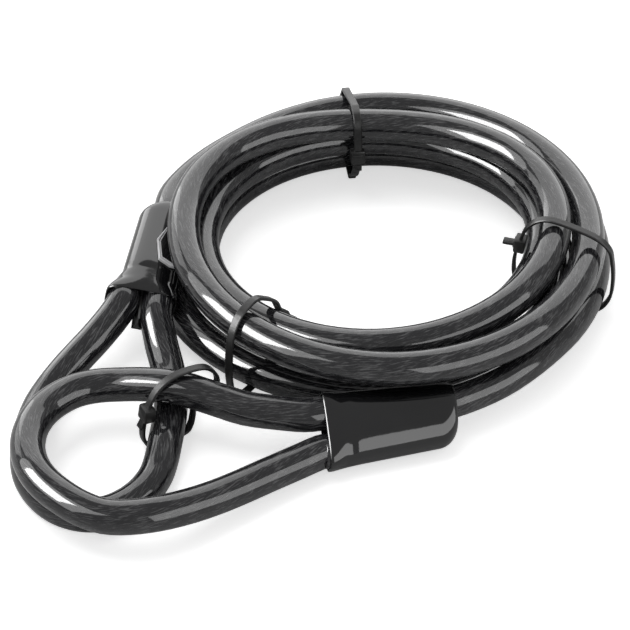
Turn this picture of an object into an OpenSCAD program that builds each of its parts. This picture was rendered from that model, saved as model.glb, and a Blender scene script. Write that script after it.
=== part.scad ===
// Double-loop security cable, coiled: an eye at each end, held by four cable ties.
// All sizes are in millimetres. The routes are drawn for a 10 mm cable and scale with it.

/* [Cable] */
// Outside diameter of the plastic jacket
jacket_d = 10; // [8:0.5:12]
// Diameter of the steel rope, as a share of the jacket's
rope_share = 0.6; // [0.5:0.05:0.7]

/* [Sleeves] */
// Length of a cover sleeve
cover_l = 38; // [36:1:40]
// Wall of a cover sleeve round a leg
cover_wall = 0.6; // [0.5:0.1:1]
// Depth that a jacketed leg enters a cover sleeve
leg_depth = 1; // [0.6:0.1:1.4]
// Length of the pressed ferrule inside
ferrule_l = 12; // [10:0.5:12.5]
// Wall of the ferrule round the rope
ferrule_wall = 1.2; // [0.8:0.1:1.5]

/* [Badge] */
// Length of the blank badge on the rear sleeve
badge_l = 16; // [14:0.5:18]
// Width of the badge
badge_w = 9; // [7:0.5:9.5]
// Thickness of the badge
badge_t = 0.8; // [0.5:0.1:1]

/* [Cable ties] */
// Width of a strap
tie_w = 2.5; // [2:0.1:3.6]
// Thickness of a strap
tie_t = 1; // [0.8:0.1:1.1]
// Width of a tie's head
head_w = 4.6; // [4:0.2:6]
// Length of the stub left on a tie
stub_l = 3; // [2:0.5:5]

/* [Hidden] */
$fn = 48;
k = jacket_d / 10; // scale of every route
jacket_r = jacket_d / 2;
rope_r = jacket_r * rope_share;
cover_r = (5 + cover_wall) * k;
sides = 8; // of a cable's section
gap = 0.1; // between a cable and the bore that holds it
// Middle of the coil in plan, and the whole part's shift onto its origin
coil_c = [18, 20];
origin = [2, -2.8];
// Lay of the coil: turn angle from the front sleeve, radius and height of the cable's middle.
// The lower turns run in from the front sleeve, climb inside, and run out to the rear sleeve.
lay = [
    [-60, 72, 10], [-45, 69.5, 9.5], [0, 69, 8.5], [90, 72, 6.5], [180, 64, 4], [225, 65, 7],
    [270, 61, 4], [360, 58, 6.8], [450, 54, 6.5], [540, 53, 6.3], [630, 47, 7.3], [720, 52.5, 15.9],
    [810, 48, 15.9], [900, 52.4, 17.2], [990, 60, 22], [1080, 55, 26.9], [1170, 42, 26],
    [1260, 57, 28], [1350, 72, 24], [1440, 65.6, 21.6], [1530, 62, 18], [1575, 60.5, 17], [1605, 64, 17.8]
];
ring_step = 15; // degrees from ring to ring
// Sleeves: mouth of the standing leg, [roll, pitch, yaw] and side of the dead leg
front_at = [2, -59, 13];
front_turn = [34, 3, 11];
front_side = -1;
rear_at = [-47.3, -12.8, 14.2];
rear_turn = [13, -7, 87];
rear_side = 1;
front_gap = 11.3; // between the two legs at the mouth
rear_gap = 10.4;
front_slope = 6; // degrees by which a dead leg closes on its standing one, past its jacket
rear_slope = 18;
badge_s = 18.9; // along the sleeve
badge_turn = 10; // degrees that it sits askew
badge_tilt = 13; // degrees down the flank
pad_top = cover_r + 0.1;
// Routes of the eyes between the two legs, on the cable's middle
front_eye = [
    [-20, -58, 14], [-39, -53, 17.4], [-56, -49, 15], [-69, -51, 14.5], [-78, -60, 14.5],
    [-81, -72, 14.5], [-78, -84, 14.5], [-70, -93, 13.5], [-58, -99, 12], [-43, -98, 12],
    [-28, -89, 9], [-14, -79, 7.5]
];
rear_eye = [
    [-45.6, -26.4, 10], [-43, -37, 7.5], [-42, -50, 6.8], [-43, -64, 6.3], [-45, -75, 4.4],
    [-50, -84, 4], [-58, -90, 4], [-67, -90, 4], [-75, -85, 4], [-81, -75, 4],
    [-82.6, -61, 4], [-80.2, -47, 5], [-73.4, -35.6, 8.4], [-66, -26.4, 11.6], [-60.6, -19.4, 14.4]
];

// ---- vectors and curves ----
function unit(v) = v / norm(v);
// A smooth value through the lay's stations, whose spacing may vary
function slope(i, c) =
    let(a = max(i - 1, 0), b = min(i + 1, len(lay) - 1))
    (lay[b][c] - lay[a][c]) / (lay[b][0] - lay[a][0]);
function station(t, i = 0) = i >= len(lay) - 2 || t < lay[i + 1][0] ? i : station(t, i + 1);
function eased(t, c) =
    let(
        i = station(t),
        h = lay[i + 1][0] - lay[i][0],
        u = (t - lay[i][0]) / h
    )
    (2 * u * u * u - 3 * u * u + 1) * lay[i][c]
    + (u * u * u - 2 * u * u + u) * h * slope(i, c)
    + (3 * u * u - 2 * u * u * u) * lay[i + 1][c]
    + (u * u * u - u * u) * h * slope(i + 1, c);
function coil_at(t) = [
    coil_c.x + eased(t, 1) * cos(t),
    coil_c.y + eased(t, 1) * sin(t),
    eased(t, 2)
];
// A smooth curve through points, with m steps to a stretch
function bend(p, i, u) =
    let(
        a = p[max(i - 1, 0)], b = p[i], c = p[i + 1], d = p[min(i + 2, len(p) - 1)]
    )
    0.5 * (2 * b + (c - a) * u + (2 * a - 5 * b + 4 * c - d) * u * u
    + (3 * b - a - 3 * c + d) * u * u * u);
function smooth(p, m) = [
    for (i = [0 : len(p) - 2]) for (j = [0 : m - 1]) bend(p, i, j / m),
    p[len(p) - 1]
];
// A point of a sleeve's own space, seen in the part's
function turn_x(v, a) = [v.x, v.y * cos(a) - v.z * sin(a), v.y * sin(a) + v.z * cos(a)];
function turn_y(v, a) = [v.x * cos(a) + v.z * sin(a), v.y, v.z * cos(a) - v.x * sin(a)];
function turn_z(v, a) = [v.x * cos(a) - v.y * sin(a), v.x * sin(a) + v.y * cos(a), v.z];
function placed(v, at, turn) = at + turn_z(turn_y(turn_x(v, turn.x), turn.y), turn.z);
function standing(s) = [s, 0, 0];
function closing(side) = side == front_side ? front_slope : rear_slope;
function leg_gap(side) = side == front_side ? front_gap : rear_gap;
function dead(s, side) =
    let(d = leg_depth / k, m = max(s - d, 0))
    [min(s, d) + m * cos(closing(side)), side * (leg_gap(side) - m * sin(closing(side))), 0];

// ---- routes ----
ferrule_s = leg_depth / k; // where the ferrule begins, on a 10 mm cable
ferrule_e = (leg_depth + ferrule_l) / k;
jacket_s = ferrule_e + 1 / k; // where the standing jacket begins
free_s = cover_l / k + 0.5; // where the standing leg leaves its sleeve
function front(s) = placed(standing(s), front_at, front_turn);
function rear(s) = placed(standing(s), rear_at, rear_turn);
function coil_route(s) = concat(
    [front(s), front(free_s)],
    [for (t = [-60 : ring_step : 1605]) coil_at(t)],
    [rear(free_s), rear(s)]
);
function eye_route(p, at, turn, side, s, e) = concat(
    [placed(standing(s), at, turn), placed(standing(0), at, turn)],
    smooth(concat(
        [placed(standing(-5), at, turn)],
        p,
        [placed(dead(-2, side), at, turn)]
    ), 2),
    [placed(dead(0, side), at, turn)],
    e > ferrule_s ? [placed(dead(ferrule_s, side), at, turn)] : [],
    [placed(dead(e, side), at, turn)]
);
function front_route(s, e) = eye_route(front_eye, front_at, front_turn, front_side, s, e);
function rear_route(s, e) = eye_route(rear_eye, rear_at, rear_turn, rear_side, s, e);

// ---- cables: one tube along a route, flat where it would pass the ground ----
function heading(p, i) =
    i == 0 ? unit(p[1] - p[0])
    : i == len(p) - 1 ? unit(p[i] - p[i - 1])
    : unit(unit(p[i + 1] - p[i]) + unit(p[i] - p[i - 1]));
function ring(p, i, r) =
    let(
        t = heading(p, i),
        side = unit(cross([0, 0, 1], t)),
        up = cross(t, side)
    )
    [for (j = [0 : sides - 1])
        let(
            a = 360 * (j + 0.5) / sides,
            q = k * p[i] + r * (cos(a) * side + sin(a) * up)
        )
        [q.x, q.y, max(q.z, 0)]];
function wall(n, from, out) = [
    for (i = [0 : n - 2]) for (j = [0 : sides - 1])
        let(
            a = from + i * sides + j,
            b = from + i * sides + (j + 1) % sides
        )
        each out ? [[a, a + sides, b], [b, a + sides, b + sides]]
            : [[a, b, a + sides], [b, b + sides, a + sides]]
];
function cap(n, out) = [for (j = [1 : sides - 2]) out ? [n, n + j, n + j + 1] : [n, n + j + 1, n + j]];
function lid(a, b, out) = [
    for (j = [0 : sides - 1]) let(m = (j + 1) % sides)
        each out ? [[a + j, a + m, b + j], [b + j, a + m, b + m]]
            : [[a + j, b + j, a + m], [b + j, b + m, a + m]]
];
module rod(p, r) {
    n = len(p);
    polyhedron(
        points = [for (i = [0 : n - 1]) each ring(p, i, r)],
        faces = concat(wall(n, 0, true), cap(0, true), cap((n - 1) * sides, false))
    );
}
module hose(p, r, bore) {
    n = len(p);
    m = n * sides;
    polyhedron(
        points = concat(
            [for (i = [0 : n - 1]) each ring(p, i, r)],
            [for (i = [0 : n - 1]) each ring(p, i, bore)]
        ),
        faces = concat(
            wall(n, 0, true),
            wall(n, m, false),
            lid(0, m, true),
            lid(m - sides, 2 * m - sides, false)
        )
    );
}
module jacket(p) color([0.12, 0.12, 0.13]) hose(p, jacket_r, rope_r);
module rope(p) color([0.6, 0.61, 0.63]) rod(p, rope_r - gap / 2);

module jacket_coil() jacket(coil_route(jacket_s));
module jacket_eye_front() jacket(front_route(ferrule_s, ferrule_s));
module jacket_eye_rear() jacket(rear_route(ferrule_s, ferrule_s));
module rope_coil() rope(coil_route((ferrule_s + ferrule_e) / 2));
module rope_eye_front() rope(front_route((ferrule_s + ferrule_e) / 2, ferrule_e - 0.3));
module rope_eye_rear() rope(rear_route((ferrule_s + ferrule_e) / 2, ferrule_e - 0.3));

// ---- sleeves, in their own space: x runs from the mouth along the standing leg ----
module at_front() translate(k * front_at) rotate(front_turn) children();
module at_rear() translate(k * rear_at) rotate(rear_turn) children();
module bar_standing(from, to, r)
    translate([from, 0, 0]) rotate([0, 90, 0]) cylinder(h = to - from, r = r);
// Past its jacket the dead leg closes on the standing one
module along_dead(side)
    translate([leg_depth, side * leg_gap(side) * k, 0])
        rotate([0, 0, -side * closing(side)]) translate([-leg_depth, 0, 0]) children();
module bar_dead(side, from, to, r)
    along_dead(side) translate([from, 0, 0]) rotate([0, 90, 0]) cylinder(h = to - from, r = r);
module bar_beside(side, from, to, r)
    translate([from, side * leg_gap(side) * k, 0])
        rotate([0, 90, 0]) cylinder(h = to - from, r = r);
// Flat web between the two legs
module web(side, from, to, r) {
    fall = tan(closing(side));
    gap_w = leg_gap(side) * k + leg_depth * fall;
    translate([0, 0, -r])
        linear_extrude(height = 2 * r)
            polygon([
                [from, 0], [to, 0],
                [to, side * (gap_w - to * fall)], [from, side * (gap_w - from * fall)]
            ]);
}
module ferrule(side) {
    r = rope_r + ferrule_wall;
    from = leg_depth + gap;
    to = leg_depth + ferrule_l - gap;
    color([0.72, 0.73, 0.75])
        difference() {
            union() {
                bar_standing(from, to, r);
                bar_dead(side, from, to, r);
                web(side, from + 0.6, to - 0.6, r * 0.8);
            }
            bar_standing(0, 60, rope_r + gap / 2);
            bar_dead(side, 0, 60, rope_r + gap / 2);
        }
}
// The lobe round a dead leg narrows past the jacket, and ends in a round nose
module lobe(side, nose_r, nose_gap, lean) {
    nose = cover_l - nose_r + 0.5;
    waist = leg_depth + 9;
    slim = closing(side) - lean < 2 ? 0.02 : 0; // keeps two nearly parallel bars apart
    bar_dead(side, -1, leg_depth + 0.5, cover_r);
    along_dead(side) translate([leg_depth + 0.5, 0, 0]) rotate([0, 90, 0])
        cylinder(h = 4, r1 = cover_r, r2 = nose_r);
    bar_dead(side, leg_depth + 4.5, waist + 1, nose_r - slim);
    translate([waist, side * nose_gap * k, 0]) rotate([0, 90, -side * lean])
        rotate_extrude()
            polygon(concat(
                [[0, 0], [nose_r, 0]],
                [for (a = [0 : 10 : 90]) [nose_r * cos(a), nose - waist + nose_r * sin(a)]]
            ));
}
module cover(side, nose_r, nose_gap, lean, padded) {
    r = rope_r + ferrule_wall + gap;
    waist = leg_depth + 9;
    color([0.05, 0.05, 0.06])
        difference() {
            union() {
                bar_standing(0, cover_l - 1.5, cover_r);
                translate([cover_l - 1.5, 0, 0]) rotate([0, 90, 0])
                    cylinder(h = 1.5, r1 = cover_r, r2 = jacket_r + gap + 0.2);
                lobe(side, nose_r, nose_gap, lean);
                translate([0, 0, 0.4 - nose_r])
                    linear_extrude(height = 2 * nose_r - 0.8)
                        polygon([
                            [0, 0], [cover_l - 4, 0],
                            [cover_l - 4, side * (nose_gap * k - (cover_l - 4 - waist) * tan(lean))],
                            [waist, side * nose_gap * k],
                            [leg_depth, side * leg_gap(side) * k], [0, side * leg_gap(side) * k]
                        ]);
                if (padded) pad();
            }
            // Mouth, cut square to the two legs and a little hollow
            translate([-cover_r * 4 - 0.2, side * leg_gap(side) * k / 2, 0])
                cylinder(h = 60, r = cover_r * 4 + 0.8, center = true, $fn = 96);
            bar_standing(-1, leg_depth, jacket_r + gap);
            bar_beside(side, -10, leg_depth, jacket_r + gap);
            bar_standing(leg_depth - gap, leg_depth + ferrule_l, r);
            bar_dead(side, leg_depth - gap, leg_depth + ferrule_l, r);
            web(side, leg_depth, leg_depth + ferrule_l - 0.4, r * 0.8 + gap);
            bar_standing(leg_depth + ferrule_l - 1, leg_depth + ferrule_l + 2, rope_r + gap);
            bar_standing(leg_depth + ferrule_l + 0.6, cover_l + 1, jacket_r + gap);
        }
}
// Filler between the two legs, just outside the mouth
module crotch(side)
    color([0.04, 0.04, 0.04])
        difference() {
            translate([-8, side * leg_gap(side) * k / 2 - 1.5, -3.6]) cube([9, 3, 5]);
            bar_standing(-40, 40, jacket_r + gap);
            bar_beside(side, -40, 40, jacket_r + gap);
        }
module ferrule_front() at_front() ferrule(front_side);
module ferrule_rear() at_rear() ferrule(rear_side);
module cover_front() at_front() cover(front_side, cover_r - 0.1, 10.3, 5.5, false);
module cover_rear() at_rear() cover(rear_side, rope_r + ferrule_wall + 0.6, 7.1, 6.5, true);
module crotch_rear() at_rear() crotch(rear_side);

// ---- badge, on a pad on the rear sleeve's flank ----
// A shield, with its tip away from the mouth
module badge_outline(inset) {
    a = badge_l / 2 - inset;
    b = badge_w / 2 - inset;
    polygon([
        [-a, -b + 3.5], [-a + 2, -b], [a - 6, -b], [a, -0.6],
        [a, 0.6], [a - 6, b], [-a + 2, b], [-a, b - 3.5]
    ]);
}
module on_flank()
    rotate([badge_tilt, 0, 0]) translate([badge_s * k, 0, 0]) rotate([0, 0, badge_turn]) children();
module pad()
    on_flank() translate([0, 0, 1]) linear_extrude(height = pad_top - 1) badge_outline(0.3);
module at_badge() at_rear() on_flank() translate([0, 0, pad_top]) children();
module badge_plate()
    color([0.1, 0.1, 0.11]) at_badge() linear_extrude(height = badge_t) badge_outline(1);
module badge_border()
    color([0.8, 0.8, 0.82]) at_badge()
        linear_extrude(height = badge_t + 0.2) difference() {
            badge_outline(0);
            badge_outline(1);
        }

// ---- cable ties: a strap bent round the bundle, its head and its stub ----
// The strap's inner line, pushed out by its thickness
function out_of(a, b) = let(d = unit(b - a)) [d.y, -d.x];
function pushed(p, t) = [
    for (i = [0 : len(p) - 1])
        let(
            n = len(p),
            u = out_of(p[(i + n - 1) % n], p[i]),
            v = out_of(p[i], p[(i + 1) % n]),
            w = unit(u + v)
        )
        p[i] + w * t / (w * u)
];
module strap(p) {
    q = [for (v = p) [k * v.x, max(k * v.y, tie_t)]];
    n = len(q);
    rotate([90, 0, 0])
        linear_extrude(height = tie_w, center = true)
            polygon(
                points = concat(pushed(q, tie_t), q),
                paths = [[for (i = [0 : n - 1]) i], [for (i = [0 : n - 1]) n + i]]
            );
}
// A head of three quarters its width, leaning, and the stub that stands out of it
module tie_head(at, lean, stub_turn)
    translate([k * at.x, 0, k * at.y]) {
        rotate([0, lean, 0]) cube([head_w * 0.75, head_w, head_w], center = true);
        rotate([0, stub_turn, 0])
            translate([-tie_t / 2, -tie_w / 2, 0]) cube([tie_t, tie_w, head_w / 2 + stub_l]);
    }
module at_coil(t)
    translate([k * coil_c.x, k * coil_c.y, 0]) rotate([0, 0, t]) children();
module tie_top()
    color([0.07, 0.07, 0.07]) at_coil(97) {
        strap([
            [50, 1], [72, 1], [75.6, 2.6], [77.1, 6.3], [76.4, 9], [67, 20.6], [64.8, 23.3],
            [61.5, 24.6], [46, 31], [42.3, 31.9], [38, 31.2], [36, 26.4], [36, 18], [41, 8],
            [47.4, 2.5]
        ]);
        tie_head([35.6, 18.5], 8, 190);
    }
module tie_right()
    color([0.07, 0.07, 0.07]) at_coil(-16.5) {
        strap([
            [56, 1], [64, 1], [71, 2], [74.6, 7], [75.2, 14], [74.5, 21], [73, 26], [68, 29.5],
            [57, 32.4], [52, 31.8], [48.4, 28], [46.6, 22], [45.4, 16], [46, 9], [49.6, 3.5]
        ]);
        tie_head([46.4, 22], 5, -90);
    }
module tie_left()
    color([0.07, 0.07, 0.07]) at_coil(235.5) {
        strap([
            [45, 1], [70, 1], [74, 5], [75.5, 12], [75.2, 20], [73.8, 27], [70.6, 31], [66.5, 32.2],
            [62, 31.8], [57, 28.2], [53.4, 24.8], [51.4, 20.5], [49.2, 15.2], [43.6, 11.4], [42.4, 6]
        ]);
        tie_head([49.2, 16.5], 25, 160);
    }
module tie_eyes()
    color([0.07, 0.07, 0.07])
        translate([-36.5 * k, -52.6 * k, 0]) rotate([0, 0, 211]) {
            strap([
                [2.4, 1], [12, 1], [14.6, 4], [14.6, 9], [12.4, 16], [9.4, 20.6], [5, 23],
                [-1, 23.2], [-6, 21.6], [-8.9, 17], [-7.6, 12.4], [-1.6, 9.6], [-0.6, 6], [0.2, 3]
            ]);
            tie_head([13.5, 13.6], -10, 150);
        }

// ---- least gap of the coil to itself, between rings over a third of a turn apart ----
rings = [for (t = [-60 : ring_step : 1605]) coil_at(t)];
apart = 120 / ring_step;
least = min([
    for (i = [0 : len(rings) - 1 - apart]) for (j = [i + apart : len(rings) - 1])
        norm(rings[i] - rings[j])
]);
echo(least_gap_of_the_coil_mm = k * least - jacket_d);

module placed_part() translate([-k * origin.x, -k * origin.y, 0]) children();
placed_part() jacket_coil();
placed_part() jacket_eye_front();
placed_part() jacket_eye_rear();
placed_part() rope_coil();
placed_part() rope_eye_front();
placed_part() rope_eye_rear();
placed_part() ferrule_front();
placed_part() ferrule_rear();
placed_part() cover_front();
placed_part() cover_rear();
placed_part() crotch_rear();
placed_part() badge_plate();
placed_part() badge_border();
placed_part() tie_top();
placed_part() tie_right();
placed_part() tie_left();
placed_part() tie_eyes();
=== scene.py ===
import math

import bmesh
import bpy
from mathutils import Matrix, Vector


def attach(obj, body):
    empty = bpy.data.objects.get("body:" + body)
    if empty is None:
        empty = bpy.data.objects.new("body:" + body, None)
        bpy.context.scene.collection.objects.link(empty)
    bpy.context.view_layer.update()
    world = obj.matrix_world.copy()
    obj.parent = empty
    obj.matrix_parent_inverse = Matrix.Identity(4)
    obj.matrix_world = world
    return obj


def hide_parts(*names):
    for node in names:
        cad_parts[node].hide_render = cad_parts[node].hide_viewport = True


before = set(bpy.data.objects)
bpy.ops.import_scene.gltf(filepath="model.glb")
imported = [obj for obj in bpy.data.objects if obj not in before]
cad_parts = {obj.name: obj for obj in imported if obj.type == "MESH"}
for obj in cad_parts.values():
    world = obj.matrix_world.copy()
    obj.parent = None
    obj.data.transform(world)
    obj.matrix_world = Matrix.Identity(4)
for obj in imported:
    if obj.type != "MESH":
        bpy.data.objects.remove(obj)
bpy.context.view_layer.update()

bl_info = {
    "name": "Double-Loop Security Cable",
    "version": (1, 0, 0),
    "blender": (4, 5, 0),
    "location": "View3D > Sidebar > Cable",
    "description": "Builds the jackets, sleeves, badge and ties of a coiled security cable",
    "category": "Add Mesh",
}

MM = 0.001
SHIFT = Vector((-2.0, 2.8, 0.0))  # from the plan that the routes are drawn in to the frame

# ---- routes, in millimetres, as the part has them ----
# A sleeve holds two legs: the standing leg runs on through it to the coil, and the dead leg
# ends in it. The sleeve's own space has x from its mouth along the standing leg.
COIL_CENTRE = (18.0, 20.0)
LAY = (  # turn in degrees, radius and height of the coil's middle line
    (-60, 72, 10), (-45, 69.5, 9.5), (0, 69, 8.5), (90, 72, 6.5), (180, 64, 4), (225, 65, 7),
    (270, 61, 4), (360, 58, 6.8), (450, 54, 6.5), (540, 53, 6.3), (630, 47, 7.3),
    (720, 52.5, 15.9), (810, 48, 15.9), (900, 52.4, 17.2), (990, 60, 22), (1080, 55, 26.9),
    (1170, 42, 26), (1260, 57, 28), (1350, 72, 24), (1440, 65.6, 21.6), (1530, 62, 18),
    (1575, 60.5, 17), (1605, 64, 17.8),
)
FIRST_TURN, LAST_TURN, RING_STEP = -60, 1605, 15  # degrees
# The mouth's place, its turns about x, y and z in degrees, and the side of the dead leg
FRONT_AT, FRONT_TURN, FRONT_SIDE = (2, -59, 13), (34, 3, 11), -1
REAR_AT, REAR_TURN, REAR_SIDE = (-47.3, -12.8, 14.2), (13, -7, 87), 1
LEG_GAP = {FRONT_SIDE: 11.3, REAR_SIDE: 10.4}  # between the two legs at the mouth
CLOSING = {FRONT_SIDE: 6.0, REAR_SIDE: 18.0}  # degrees that the dead leg leans in by
LEG_DEPTH = 1.0  # where the dead leg starts to lean
FERRULE_START, JACKET_START, FREE_START = 1.0, 14.0, 38.5
FRONT_EYE = (
    (-20, -58, 14), (-39, -53, 17.4), (-56, -49, 15), (-69, -51, 14.5), (-78, -60, 14.5),
    (-81, -72, 14.5), (-78, -84, 14.5), (-70, -93, 13.5), (-58, -99, 12), (-43, -98, 12),
    (-28, -89, 9), (-14, -79, 7.5),
)
REAR_EYE = (
    (-45.6, -26.4, 10), (-43, -37, 7.5), (-42, -50, 6.8), (-43, -64, 6.3), (-45, -75, 4.4),
    (-50, -84, 4), (-58, -90, 4), (-67, -90, 4), (-75, -85, 4), (-81, -75, 4),
    (-82.6, -61, 4), (-80.2, -47, 5), (-73.4, -35.6, 8.4), (-66, -26.4, 11.6), (-60.6, -19.4, 14.4),
)
TUBE_SIDES = 32


def station(turn):
    """The row of LAY that the turn comes after."""
    for i in range(len(LAY) - 2):
        if turn < LAY[i + 1][0]:
            return i
    return len(LAY) - 2


def slope(i, column):
    a, b = max(i - 1, 0), min(i + 1, len(LAY) - 1)
    return (LAY[b][column] - LAY[a][column]) / (LAY[b][0] - LAY[a][0])


def eased(turn, column):
    """A column of LAY at any turn, by Hermite's curve between its rows."""
    i = station(turn)
    h = LAY[i + 1][0] - LAY[i][0]
    u = (turn - LAY[i][0]) / h
    return (
        (2 * u ** 3 - 3 * u ** 2 + 1) * LAY[i][column]
        + (u ** 3 - 2 * u ** 2 + u) * h * slope(i, column)
        + (3 * u ** 2 - 2 * u ** 3) * LAY[i + 1][column]
        + (u ** 3 - u ** 2) * h * slope(i + 1, column)
    )


def coil_at(turn):
    a, r = math.radians(turn), eased(turn, 1)
    x, y = COIL_CENTRE
    return Vector((x + r * math.cos(a), y + r * math.sin(a), eased(turn, 2)))


def seat(at, turn):
    """The matrix of a sleeve's own space."""
    spin = Matrix.Rotation(math.radians(turn[2]), 4, "Z")
    spin = spin @ Matrix.Rotation(math.radians(turn[1]), 4, "Y")
    spin = spin @ Matrix.Rotation(math.radians(turn[0]), 4, "X")
    return Matrix.Translation(Vector(at)) @ spin


FRONT = seat(FRONT_AT, FRONT_TURN)
REAR = seat(REAR_AT, REAR_TURN)


def dead(s, side):
    """A point on the dead leg's middle line, in the sleeve's own space."""
    a, m = math.radians(CLOSING[side]), max(s - LEG_DEPTH, 0)
    gap = LEG_GAP[side] - m * math.sin(a)
    return Vector((min(s, LEG_DEPTH) + m * math.cos(a), side * gap, 0))


def between(a, b, c, d, u):
    return 0.5 * (2 * b + (c - a) * u + (2 * a - 5 * b + 4 * c - d) * u ** 2
                  + (3 * b - a - 3 * c + d) * u ** 3)


def smooth(points, steps, closed=False):
    """A Catmull-Rom curve through the points, with so many steps to a stretch."""
    n, out = len(points), []
    for i in range(n if closed else n - 1):
        if closed:
            a, b, c, d = (points[(i + j) % n] for j in (-1, 0, 1, 2))
        else:
            a, b, c, d = points[max(i - 1, 0)], points[i], points[i + 1], points[min(i + 2, n - 1)]
        out += [between(a, b, c, d, j / steps) for j in range(steps)]
    return out if closed else out + [points[-1]]


def coil_route():
    turns = range(FIRST_TURN, LAST_TURN + 1, RING_STEP)
    front, rear = ([m @ Vector((s, 0, 0)) for s in (JACKET_START, 30.0, FREE_START)]
                   for m in (FRONT, REAR))
    return front + [coil_at(t) for t in turns] + rear[::-1]


def eye_route(points, m, side):
    eye = [m @ Vector((-5, 0, 0))] + [Vector(p) for p in points] + [m @ dead(-2, side)]
    legs = [m @ Vector((FERRULE_START, 0, 0)), m @ Vector((0, 0, 0))]
    back = [m @ dead(0, side), m @ dead(FERRULE_START, side)]
    return legs + smooth(eye, 2) + back


def in_frame(points):
    return [(Vector(p) + SHIFT) * MM for p in points]


# ---- meshes ----
def new_piece(name, mesh):
    piece = bpy.data.objects.new(name, mesh)
    bpy.context.scene.collection.objects.link(piece)
    return piece


def as_piece(name, bm, sharp=None):
    """Makes an object of bm, shaded smooth but for edges sharper than so many degrees."""
    mesh = bpy.data.meshes.new(name)
    bmesh.ops.recalc_face_normals(bm, faces=bm.faces)
    bm.normal_update()
    bm.to_mesh(mesh)
    bm.free()
    piece = new_piece(name, mesh)
    bpy.ops.object.select_all(action="DESELECT")
    piece.select_set(True)
    bpy.context.view_layer.objects.active = piece
    if sharp is None:
        bpy.ops.object.shade_smooth()
    else:
        bpy.ops.object.shade_smooth_by_angle(angle=math.radians(sharp))
    return piece


def bridge(bm, loops, closed=False):
    """Faces from each loop of vertices to the next, and from the last to the first if closed."""
    n = len(loops[0])
    for a, b in zip(loops, loops[1:] + loops[:1] if closed else loops[1:]):
        for i in range(n):
            j = (i + 1) % n
            bm.faces.new((a[i], a[j], b[j], b[i]))


def capped(bm, loops):
    """A closed skin over the loops, with a face over each end."""
    bridge(bm, loops)
    bm.faces.new(loops[0])
    bm.faces.new(loops[-1])


def round_tube(name, path, radius, sides):
    """A closed tube along a path, its UV map in metres along and in turns round."""
    bm = bmesh.new()
    uv = bm.loops.layers.uv.new("Cable")
    n = len(path)
    heads = []
    for i in range(n):
        a, b = path[max(i - 1, 0)], path[min(i + 1, n - 1)]
        heads.append((b - a).normalized())
    side = heads[0].cross(Vector((0, 0, 1))).normalized()
    rings, along, length = [], [], 0.0
    for i in range(n):
        side = (side - heads[i] * side.dot(heads[i])).normalized()
        up = heads[i].cross(side)
        if i:
            length += (path[i] - path[i - 1]).length
        along.append(length)
        ring = []
        for j in range(sides):
            a = 2 * math.pi * j / sides
            q = path[i] + radius * (math.cos(a) * side + math.sin(a) * up)
            q.z = max(q.z, 0.0)
            ring.append(bm.verts.new(q))
        rings.append(ring)
    for i in range(n - 1):
        for j in range(sides):
            m = (j + 1) % sides
            face = bm.faces.new((rings[i][j], rings[i + 1][j], rings[i + 1][m], rings[i][m]))
            spots = ((i, j), (i + 1, j), (i + 1, j + 1), (i, j + 1))
            for loop, (u, v) in zip(face.loops, spots):
                loop[uv].uv = (along[u], v / sides)
    bm.faces.new(rings[0][::-1])
    bm.faces.new(rings[-1])
    return as_piece(name, bm), length


def place(piece, matrix):
    """Moves the piece's own mesh, from a sleeve's or a tie's space in millimetres to the frame."""
    piece.data.transform(Matrix.Scale(MM, 4) @ Matrix.Translation(SHIFT) @ matrix)
    piece.data.update()


# ---- materials ----
WIND_R = 5 * MM  # the radius that the jacket's patterns are wound at
COAT_ROUGHNESS, COAT_IOR = 0.03, 1.8


def material(name):
    mat = bpy.data.materials.new(name)
    mat.use_nodes = True
    return mat, mat.node_tree, mat.node_tree.nodes["Principled BSDF"]


def math_node(tree, operation, a, b=None):
    node = tree.nodes.new("ShaderNodeMath")
    node.operation = operation
    for socket, value in zip(node.inputs, (a, b)):
        if value is None:
            continue
        if isinstance(value, (int, float)):
            socket.default_value = value
        else:
            tree.links.new(value, socket)
    return node.outputs[0]


def cable_vector(tree, stretch, twist):
    """A point on the rope under the jacket: length shrunk by stretch, turned by twist per metre."""
    uv = tree.nodes.new("ShaderNodeUVMap")
    uv.uv_map = "Cable"
    split = tree.nodes.new("ShaderNodeSeparateXYZ")
    tree.links.new(uv.outputs[0], split.inputs[0])
    along, around = split.outputs[0], split.outputs[1]
    angle = math_node(tree, "MULTIPLY", around, 2 * math.pi)
    turned = math_node(tree, "ADD", angle, math_node(tree, "MULTIPLY", along, twist))
    x = math_node(tree, "MULTIPLY", along, stretch)
    y = math_node(tree, "MULTIPLY", math_node(tree, "COSINE", turned), WIND_R)
    z = math_node(tree, "MULTIPLY", math_node(tree, "SINE", turned), WIND_R)
    join = tree.nodes.new("ShaderNodeCombineXYZ")
    for socket, value in zip(join.inputs, (x, y, z)):
        tree.links.new(value, socket)
    return join.outputs[0]


def noise(tree, vector, scale, detail=2.0, rough=0.5):
    node = tree.nodes.new("ShaderNodeTexNoise")
    node.inputs["Scale"].default_value = scale
    node.inputs["Detail"].default_value = detail
    node.inputs["Roughness"].default_value = rough
    tree.links.new(vector, node.inputs["Vector"])
    return node.outputs["Fac"]


def ramp(tree, factor, stops):
    """The colour for a factor, between stops of (place, colour)."""
    node = tree.nodes.new("ShaderNodeValToRGB")
    band = node.color_ramp.elements
    while len(band) < len(stops):
        band.new(0.5)
    for element, (position, shade) in zip(band, stops):
        element.position = position
        element.color = (*shade, 1)
    tree.links.new(factor, node.inputs[0])
    return node.outputs["Color"]


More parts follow.
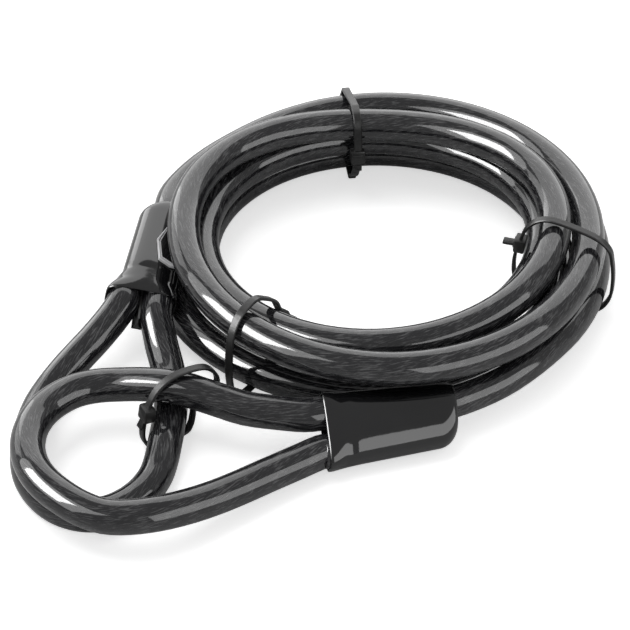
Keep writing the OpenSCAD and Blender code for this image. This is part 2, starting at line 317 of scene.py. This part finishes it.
def bump(tree, shader, height, distance):
    node = tree.nodes.new("ShaderNodeBump")
    node.inputs["Distance"].default_value = distance
    node.inputs["Strength"].default_value = 1.0
    tree.links.new(height, node.inputs["Height"])
    for name in ("Normal", "Coat Normal"):
        tree.links.new(node.outputs[0], shader.inputs[name])


def smoked_jacket(settings):
    """Smoke-black gloss with the rope's wires showing faintly, wound along the cable."""
    mat, tree, shader = material("smoked_jacket")
    wires = noise(tree, cable_vector(tree, 0.12, 35.0), 2900.0, rough=0.55)
    patches = noise(tree, cable_vector(tree, 0.5, 35.0), 220.0)
    seen = math_node(tree, "ADD", wires, math_node(tree, "MULTIPLY", patches, 0.35))
    base, wire = tuple(settings.jacket_colour), tuple(settings.wire_colour)
    faint = tuple(b + 0.3 * (w - b) for b, w in zip(base, wire))
    colour = ramp(tree, seen, ((0.66, base), (0.74, faint), (0.86, wire)))
    tree.links.new(colour, shader.inputs["Base Color"])
    shader.inputs["Roughness"].default_value = 0.07
    shader.inputs["IOR"].default_value = settings.gloss_ior
    shader.inputs["Specular IOR Level"].default_value = 0.4
    waves = noise(tree, cable_vector(tree, 0.3, 12.0), 260.0, 1.0, 0.4)
    bump(tree, shader, waves, 0.00008)
    return mat


def moulded(name, colour, roughness, grain, depth, ior=1.5, coat=0.0):
    """Plastic with a cloudy shade and gloss, and a fine grain of so much depth in metres."""
    mat, tree, shader = material(name)
    where = tree.nodes.new("ShaderNodeTexCoord").outputs["Object"]
    cloud = noise(tree, where, 60.0, 3.0)
    darker = tuple(0.75 * c for c in colour)
    lighter = tuple(1.3 * c for c in colour)
    shades = ramp(tree, cloud, ((0.35, darker), (0.65, lighter)))
    tree.links.new(shades, shader.inputs["Base Color"])
    spread = tree.nodes.new("ShaderNodeMapRange")
    spread.inputs["To Min"].default_value = roughness * 0.85
    spread.inputs["To Max"].default_value = roughness * 1.2
    tree.links.new(cloud, spread.inputs["Value"])
    tree.links.new(spread.outputs[0], shader.inputs["Roughness"])
    shader.inputs["IOR"].default_value = ior
    shader.inputs["Coat Weight"].default_value = coat
    shader.inputs["Coat Roughness"].default_value = COAT_ROUGHNESS
    shader.inputs["Coat IOR"].default_value = COAT_IOR
    bump(tree, shader, noise(tree, where, grain), depth)
    return mat


def drawn_steel(name, colour, roughness):
    mat, tree, shader = material(name)
    where = tree.nodes.new("ShaderNodeTexCoord").outputs["Object"]
    cloud = noise(tree, where, 900.0, 3.0)
    darker = tuple(0.7 * c for c in colour)
    shades = ramp(tree, cloud, ((0.3, darker), (0.7, colour)))
    tree.links.new(shades, shader.inputs["Base Color"])
    shader.inputs["Metallic"].default_value = 1.0
    shader.inputs["Roughness"].default_value = roughness
    bump(tree, shader, cloud, 0.00005)
    return mat


def dress(name, mat):
    """Gives a node that stays as it is its material."""
    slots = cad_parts[name].data.materials
    slots.clear()
    slots.append(mat)


def finish_piece(piece, mat, node):
    """Gives a new piece its material and puts it in the node's place."""
    piece.data.materials.clear()
    piece.data.materials.append(mat)
    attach(piece, "root")
    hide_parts(node)


# ---- settings ----
class CableSettings(bpy.types.PropertyGroup):
    jacket_diameter: bpy.props.FloatProperty(
        name="Jacket diameter", description="Outside diameter of the plastic jacket",
        default=0.010, unit="LENGTH", subtype="DISTANCE")
    jacket_colour: bpy.props.FloatVectorProperty(
        name="Jacket colour", description="Smoke-black of the jacket",
        default=(0.012, 0.012, 0.0135), size=3, subtype="COLOR")
    wire_colour: bpy.props.FloatVectorProperty(
        name="Wire colour", description="Steel wires seen through the jacket",
        default=(0.085, 0.085, 0.087), size=3, subtype="COLOR")
    gloss_ior: bpy.props.FloatProperty(
        name="Gloss index", description="Refractive index of the jacket's gloss", default=1.55)
    cover_colour: bpy.props.FloatVectorProperty(
        name="Cover colour", description="Black of the cover sleeves",
        default=(0.0045, 0.0045, 0.005), size=3, subtype="COLOR")
    tie_colour: bpy.props.FloatVectorProperty(
        name="Tie colour", description="Black of the nylon ties",
        default=(0.012, 0.012, 0.012), size=3, subtype="COLOR")


# ---- camera ----
class CABLE_OT_camera(bpy.types.Operator):
    """Sets the camera over the near side of the coil"""
    bl_idname = "cable.camera"
    bl_label = "Camera"

    def execute(self, context):
        data = bpy.data.cameras.new("camera")
        data.lens = 138.9
        data.sensor_width = 36.0
        data.clip_start = 0.01
        camera = bpy.data.objects.new("camera", data)
        camera.location = (-0.002, -0.56323, 0.49105)
        camera.rotation_euler = (math.radians(49), 0, 0)
        context.scene.collection.objects.link(camera)
        context.scene.camera = camera
        return {"FINISHED"}


# ---- cables ----
class CABLE_OT_cables(bpy.types.Operator):
    """Lays the jacketed cable: the coil and the two eyes"""
    bl_idname = "cable.cables"
    bl_label = "Cables"

    def execute(self, context):
        settings = context.scene.cable_settings
        mat = smoked_jacket(settings)
        radius = settings.jacket_diameter / 2
        runs = (
            ("jacket_run_coil", coil_route(), 4, "jacket_coil", "coiled"),
            ("jacket_run_front", eye_route(FRONT_EYE, FRONT, FRONT_SIDE), 3, "jacket_eye_front",
             "loose"),
            ("jacket_run_rear", eye_route(REAR_EYE, REAR, REAR_SIDE), 3, "jacket_eye_rear",
             "loose"),
        )
        for name, route, steps, node, lay in runs:
            path = in_frame(smooth(route, steps))
            piece, length = round_tube(name, path, radius, TUBE_SIDES)
            finish_piece(piece, mat, node)
        steel = drawn_steel("rope_steel", (0.55, 0.56, 0.58), 0.35)
        for name in ("rope_coil", "rope_eye_front", "rope_eye_rear"):
            dress(name, steel)
        return {"FINISHED"}


# ---- sleeves and badge, in a sleeve's own space in millimetres ----
COVER_L, COVER_R = 38.0, 5.6
WAIST_L = 9.0  # from where the dead leg leans to where its lobe has its last radius
END_L, END_ARC = 4.0, 4.53  # the standing end, over which the sleeve closes to the cable
END_WIDE, END_HIGH = 4.95, 5.05
RIM_L, RIM_DEPTH = 0.35, 0.15  # the rounding of the mouth's edge
ROUND, SQUARE = 2.2, 4.0  # the oval's power in the body and at the mouth
SQUARE_L = 6.0
SECTION_SIDES = 64
MOUTH_HOLLOW = ((0.9, 0.5), (0.05, 0.4), (0.0, 0.2))  # how deep, and how far in from the edge
NEAR_MOUTH = (0.0, 0.08, 0.2, 0.35, 0.6, 0.9, 1.3, 1.8, 2.3, 2.8, 3.3, 3.8, 4.3, 4.8, 5.4, 6,
              7, 8, 8.5, 9, 9.5, 10, 11, 12)
# nose_r and nose_gap: the lobe's last radius, and the legs' distance at the waist
# lean: the degrees that the lobe leans in by from there
# crown: half the height in the middle, lower by lip at the mouth, over the length lip_l
SLEEVES = (
    ("cover_front", FRONT, FRONT_SIDE, dict(
        nose_r=COVER_R - 0.1, nose_gap=10.3, lean=5.5, crown=6.6, lip=1.2, lip_l=7.0)),
    ("cover_rear", REAR, REAR_SIDE, dict(
        nose_r=4.8, nose_gap=7.1, lean=6.5, crown=6.2, lip=0.8, lip_l=9.5)),
)
BADGE_L, BADGE_W = 16.0, 9.0
BADGE_S, BADGE_TURN, BADGE_TILT = 18.9, 10.0, 13.0  # along the sleeve, in its plane, down its flank
BADGE_H = 1.0
PAD_TOP = COVER_R + 0.1


def eased_step(u):
    u = min(max(u, 0.0), 1.0)
    return u * u * (3 - 2 * u)


def sleeve_stations(side, nose_r, nose_gap, lean, crown, lip, lip_l):
    """Stations of a sleeve: (s, near edge, far edge, half the height, power of the oval)."""
    waist, nose = LEG_DEPTH + WAIST_L, COVER_L - nose_r + 0.5
    last = nose + nose_r - 0.03
    spots = list(NEAR_MOUTH) + [14 + 2 * i for i in range(9)]
    spots += [nose + nose_r * math.sin(math.radians(a)) for a in range(0, 90, 6)]
    spots = sorted(s for s in spots if s < last) + [last]
    waist_gap = abs(dead(waist, side).y)
    stations = []
    for s in spots:
        thin = RIM_DEPTH * (1 - s / RIM_L) ** 2 if s < RIM_L else 0.0
        near = COVER_R - thin
        u = s / lip_l
        rise = u - 0.3 * u * eased_step(u) if u < 1 else 1.0 - 0.3 * math.exp(-(u - 1) * 9)
        high = crown - thin - lip * (1 - rise)
        power = ROUND + (SQUARE - ROUND) * (1 - eased_step(s / SQUARE_L))
        if s < waist:
            u = (s - LEG_DEPTH) / WAIST_L
            gap = abs(dead(s, side).y) + (nose_gap - waist_gap) * min(max(u, 0), 1)
            lobe = COVER_R + (nose_r - COVER_R) * eased_step(u) - thin
        else:
            gap = nose_gap - (s - waist) * math.tan(math.radians(lean))
            lobe = nose_r
        if s > nose:
            lobe = math.sqrt(max(nose_r ** 2 - (s - nose) ** 2, 0.0))
        if s > COVER_L - END_L:
            fall = math.sqrt(max(0.0, 1 - ((s - COVER_L + END_L) / END_ARC) ** 2))
            near = END_WIDE + (COVER_R - END_WIDE) * fall
            high = END_HIGH + (crown - END_HIGH) * fall
        stations.append((s, -near, gap + lobe, high, power))
    return stations


def oval(s, near, far, high, power, side):
    """A rounded oval round both legs, as points (s, across, up)."""
    middle, half, out = (near + far) / 2, (far - near) / 2, []
    for i in range(SECTION_SIDES):
        t = 2 * math.pi * i / SECTION_SIDES
        c, d = math.cos(t), math.sin(t)
        y = math.copysign(abs(c) ** (2 / power), c) * half + middle
        out.append((s, side * y, math.copysign(abs(d) ** (2 / power), d) * high))
    return out


def skin(bm, stations, side):
    """A closed skin over the stations, hollowed a little at the mouth."""
    _, near, far, high, power = stations[0]
    hollow = [(s, near + t, far - t, high - t, power) for s, t in MOUTH_HOLLOW]
    capped(bm, [[bm.verts.new(p) for p in oval(*at, side)] for at in hollow + stations])


def on_flank(height):
    """The matrix of the badge's place, so high over the standing leg."""
    tilt = Matrix.Rotation(math.radians(BADGE_TILT), 4, "X")
    turn = Matrix.Rotation(math.radians(BADGE_TURN), 4, "Z")
    return tilt @ Matrix.Translation((BADGE_S, 0, height)) @ turn


def outline(inset):
    """The badge's shield, with a blunt end and a pointed one."""
    a, b = BADGE_L / 2 - inset, BADGE_W / 2 - inset
    return [(-a, -b + 3.5), (-a + 2, -b), (a - 6, -b), (a, -0.6),
            (a, 0.6), (a - 6, b), (-a + 2, b), (-a, b - 3.5)]


def shield_loop(bm, inset, height):
    return [bm.verts.new((x, y, height)) for x, y in outline(inset)]


def pad(bm):
    """The flat that the badge lies on, with a small chamfer."""
    steps = ((0.3, 1.0), (0.3, PAD_TOP - 0.3), (0.5, PAD_TOP))
    loops = [shield_loop(bm, inset, height) for inset, height in steps]
    capped(bm, loops)
    bmesh.ops.transform(bm, matrix=on_flank(0), verts=[v for loop in loops for v in loop])


class CABLE_OT_sleeves(bpy.types.Operator):
    """Smooths the cover sleeves and finishes what they hold"""
    bl_idname = "cable.sleeves"
    bl_label = "Sleeves"

    def execute(self, context):
        settings = context.scene.cable_settings
        black = moulded("cover_black", tuple(settings.cover_colour), 0.08, 320.0, 0.00002)
        for name, seat_at, side, form in SLEEVES:
            bm = bmesh.new()
            skin(bm, sleeve_stations(side, **form), side)
            if side == REAR_SIDE:
                pad(bm)
            piece = as_piece(name.replace("cover", "sleeve"), bm, 40)
            place(piece, seat_at)
            finish_piece(piece, black, name)
        pressed = drawn_steel("ferrule_metal", (0.72, 0.73, 0.75), 0.3)
        for name in ("ferrule_front", "ferrule_rear"):
            dress(name, pressed)
        dress("crotch_rear", moulded("crotch_rubber", (0.012, 0.012, 0.012), 0.4, 600.0, 0.0001))
        return {"FINISHED"}


class CABLE_OT_badge(bpy.types.Operator):
    """Makes the blank badge's double silver line"""
    bl_idname = "cable.badge"
    bl_label = "Badge"

    def execute(self, context):
        silver = moulded("badge_silver", (0.62, 0.62, 0.63), 0.3, 400.0, 0.00002)
        edge, shoulder = 0.08, BADGE_H - 0.15
        bm = bmesh.new()
        for outer, inner in ((0.0, 0.4), (0.65, 0.95)):
            steps = ((outer, 0.0), (outer, shoulder), (outer + edge, BADGE_H),
                     (inner - edge, BADGE_H), (inner, shoulder), (inner, 0.0))
            bridge(bm, [shield_loop(bm, inset, height) for inset, height in steps], closed=True)
        piece = as_piece("badge_lines", bm, 30)
        place(piece, REAR @ on_flank(PAD_TOP))
        finish_piece(piece, silver, "badge_border")
        black = moulded("badge_black", (0.008, 0.008, 0.009), 0.15, 400.0, 0.00003, coat=1.0)
        dress("badge_plate", black)
        return {"FINISHED"}


# ---- ties, in a tie's own space: x away from its centre, z up, in millimetres ----
TIE_W, TIE_T, TIE_EDGE = 2.5, 1.0, 0.25
HEAD_W, HEAD_T, HEAD_EDGE = 4.6, 3.45, 0.5
STUB_L, RIBS, RIB_STEP = 3.0, 5, 0.7
# name, centre, turn, the head's place, its lean, the cut stub's turn and the strap's loop
TIES = (
    ("tie_top", (18, 20), 97, (35.6, 18.5), 8, 190, (
        (50, 1), (72, 1), (75.6, 2.6), (77.1, 6.3), (76.4, 9), (67, 20.6), (64.8, 23.3),
        (61.5, 24.6), (46, 31), (42.3, 31.9), (38, 31.2), (36, 26.4), (36, 18), (41, 8),
        (47.4, 2.5))),
    ("tie_right", (18, 20), -16.5, (46.4, 22), 5, -90, (
        (56, 1), (64, 1), (71, 2), (74.6, 7), (75.2, 14), (74.5, 21), (73, 26), (68, 29.5),
        (57, 32.4), (52, 31.8), (48.4, 28), (46.6, 22), (45.4, 16), (46, 9), (49.6, 3.5))),
    ("tie_left", (18, 20), 235.5, (49.2, 16.5), 25, 160, (
        (45, 1), (70, 1), (74, 5), (75.5, 12), (75.2, 20), (73.8, 27), (70.6, 31), (66.5, 32.2),
        (62, 31.8), (57, 28.2), (53.4, 24.8), (51.4, 20.5), (49.2, 15.2), (43.6, 11.4),
        (42.4, 6))),
    ("tie_eyes", (-36.5, -52.6), 211, (13.5, 13.6), -10, 150, (
        (2.4, 1), (12, 1), (14.6, 4), (14.6, 9), (12.4, 16), (9.4, 20.6), (5, 23),
        (-1, 23.2), (-6, 21.6), (-8.9, 17), (-7.6, 12.4), (-1.6, 9.6), (-0.6, 6), (0.2, 3))),
)


def strap(bm, points):
    """A closed strap with chamfered edges round a loop of points in the x-z plane."""
    line = smooth([Vector((x, 0, max(z, TIE_T))) for x, z in points], 5, closed=True)
    n, half = len(line), TIE_W / 2
    profile = (
        (0, -half + TIE_EDGE), (TIE_EDGE, -half), (TIE_T - TIE_EDGE, -half),
        (TIE_T, -half + TIE_EDGE), (TIE_T, half - TIE_EDGE), (TIE_T - TIE_EDGE, half),
        (TIE_EDGE, half), (0, half - TIE_EDGE),
    )
    loops = []
    for i in range(n):
        head = (line[(i + 1) % n] - line[i - 1]).normalized()
        out = Vector((head.z, 0, -head.x))
        loop = []
        for rise, across in profile:
            q = line[i] + out * rise + Vector((0, across, 0))
            q.z = max(q.z, 0.02)
            loop.append(bm.verts.new(q))
        loops.append(loop)
    bridge(bm, loops, closed=True)


def block(bm, matrix, size, edge):
    """A box with chamfered edges, in its own turned place."""
    made = bmesh.ops.create_cube(bm, size=1.0, matrix=matrix @ Matrix.Diagonal((*size, 1)))
    edges = {e for v in made["verts"] for e in v.link_edges}
    bmesh.ops.bevel(bm, geom=list(edges), offset=edge, segments=2, affect="EDGES", profile=0.5)


def head_and_stub(bm, at, lean, stub_turn):
    """The tie's head with the slot's lip, and the strap's cut end with its ribs."""
    middle = Matrix.Translation((at[0], 0, at[1]))
    leaning = middle @ Matrix.Rotation(math.radians(lean), 4, "Y")
    block(bm, leaning, (HEAD_T, HEAD_W, HEAD_W), HEAD_EDGE)
    block(bm, leaning @ Matrix.Translation((-HEAD_W * 0.39, 0, 0)), (0.5, 3.2, 2.2), 0.15)
    out = middle @ Matrix.Rotation(math.radians(stub_turn), 4, "Y")
    reach = HEAD_W / 2 + STUB_L
    block(bm, out @ Matrix.Translation((0, 0, reach / 2)), (TIE_T, TIE_W, reach), 0.15)
    for i in range(RIBS):
        rib = out @ Matrix.Translation((TIE_T / 2, 0, reach - 0.5 - RIB_STEP * i))
        block(bm, rib, (0.3, TIE_W * 0.7, 0.35), 0.08)


class CABLE_OT_ties(bpy.types.Operator):
    """Makes the four cable ties with their heads and cut stubs"""
    bl_idname = "cable.ties"
    bl_label = "Cable ties"

    def execute(self, context):
        settings = context.scene.cable_settings
        nylon = moulded("tie_nylon", tuple(settings.tie_colour), 0.34, 900.0, 0.00008, ior=1.35)
        for name, centre, turn, head, lean, stub_turn, points in TIES:
            bm = bmesh.new()
            strap(bm, points)
            head_and_stub(bm, head, lean, stub_turn)
            piece = as_piece(name.replace("tie", "strap"), bm, 35)
            spin = Matrix.Rotation(math.radians(turn), 4, "Z")
            place(piece, Matrix.Translation((*centre, 0)) @ spin)
            finish_piece(piece, nylon, name)
        return {"FINISHED"}


# ---- stage, in metres ----
FLOOR_SIZE, FLOOR_SHADE = 8.0, 0.9
FLOOR_LIFT = 0.6  # added to the floor for the camera only, over its shaded light
SURROUND_GLOSS, SURROUND_FILL = 0.6, 0.55  # what gloss and diffuse light get of the surround
# name, place, aim, size, radiance, and whether only gloss shows it
LAMPS = (
    ("overhead", (-0.5, 0.3, 1.6), (0, 0, 0), (1.2, 1.2), 2.2, False),
    ("key", (-1.24, -0.30, 0.98), (0, 0, 0), (1.15, 0.95), 17.0, True),
    ("glow", (-1.40, -0.36, 1.10), (0, 0, 0), (2.4, 1.8), 3.2, True),
    ("edge", (-1.10, 1.00, 0.42), (0, 0, 0), (1.0, 0.75), 1.7, True),
    ("side", (1.15, -0.9, 0.4), (0, 0, 0), (1.9, 1.3), 2.7, True),
    ("backdrop", (0.1, 1.5, 0.85), (0, 0, 0.3), (3.2, 2.05), 1.8, True),
)


def softbox(name, at, aim, size, radiance, glossy_only):
    data = bpy.data.lights.new(name, "AREA")
    data.shape = "RECTANGLE"
    data.size, data.size_y = size
    data.energy = 4 * size[0] * size[1] * radiance
    lamp = bpy.data.objects.new(name, data)
    lamp.location = at
    lamp.rotation_euler = (Vector(at) - Vector(aim)).to_track_quat("Z", "Y").to_euler()
    lamp.visible_camera = False
    lamp.visible_diffuse = not glossy_only
    lamp.visible_glossy = glossy_only
    bpy.context.scene.collection.objects.link(lamp)


def pale_floor():
    mat, tree, shader = material("pale_floor")
    shader.inputs["Base Color"].default_value = (FLOOR_SHADE, FLOOR_SHADE, FLOOR_SHADE, 1)
    shader.inputs["Roughness"].default_value = 0.9
    shader.inputs["Specular IOR Level"].default_value = 0.0
    path = tree.nodes.new("ShaderNodeLightPath")
    shown = math_node(tree, "MULTIPLY", path.outputs["Is Camera Ray"], FLOOR_LIFT)
    shader.inputs["Emission Color"].default_value = (1, 1, 1, 1)
    tree.links.new(shown, shader.inputs["Emission Strength"])
    return mat


def white_surround():
    world = bpy.data.worlds.new("surround")
    world.use_nodes = True
    tree = world.node_tree
    sky = tree.nodes["Background"]
    sky.inputs["Color"].default_value = (1, 1, 1, 1)
    path = tree.nodes.new("ShaderNodeLightPath")
    glossy = math_node(tree, "MULTIPLY", path.outputs["Is Glossy Ray"], SURROUND_GLOSS)
    shown = math_node(tree, "MAXIMUM", path.outputs["Is Camera Ray"], glossy)
    fill = math_node(tree, "MULTIPLY", path.outputs["Is Diffuse Ray"], SURROUND_FILL)
    tree.links.new(math_node(tree, "MAXIMUM", shown, fill), sky.inputs["Strength"])
    return world


class CABLE_OT_stage(bpy.types.Operator):
    """Sets the pale floor, the soft lamps and the white surround"""
    bl_idname = "cable.stage"
    bl_label = "Stage"

    def execute(self, context):
        bpy.ops.object.select_all(action="DESELECT")
        bpy.ops.mesh.primitive_plane_add(size=FLOOR_SIZE, location=(0, 0, 0))
        floor = context.active_object
        floor.name = "floor"
        floor.data.materials.append(pale_floor())
        context.scene.world = white_surround()
        for lamp in LAMPS:
            softbox(*lamp)
        context.scene.view_settings.view_transform = "Standard"
        return {"FINISHED"}


class CABLE_PT_panel(bpy.types.Panel):
    """Lists the steps that build the cable"""
    bl_label = "Security Cable"
    bl_space_type = "VIEW_3D"
    bl_region_type = "UI"
    bl_category = "Cable"

    def draw(self, context):
        settings = context.scene.cable_settings
        for name in CableSettings.__annotations__:
            self.layout.prop(settings, name)
        for step in STEPS:
            self.layout.operator(step.bl_idname)


STEPS = (CABLE_OT_camera, CABLE_OT_cables, CABLE_OT_sleeves, CABLE_OT_badge, CABLE_OT_ties,
         CABLE_OT_stage)
CLASSES = (CableSettings,) + STEPS + (CABLE_PT_panel,)


def register():
    for cls in CLASSES:
        bpy.utils.register_class(cls)
    bpy.types.Scene.cable_settings = bpy.props.PointerProperty(type=CableSettings)


def unregister():
    del bpy.types.Scene.cable_settings
    for cls in reversed(CLASSES):
        bpy.utils.unregister_class(cls)


def main():
    register()
    bpy.ops.cable.camera()
    bpy.ops.cable.cables()
    bpy.ops.cable.sleeves()
    bpy.ops.cable.badge()
    bpy.ops.cable.ties()
    bpy.ops.cable.stage()


if __name__ == "__main__":
    main()
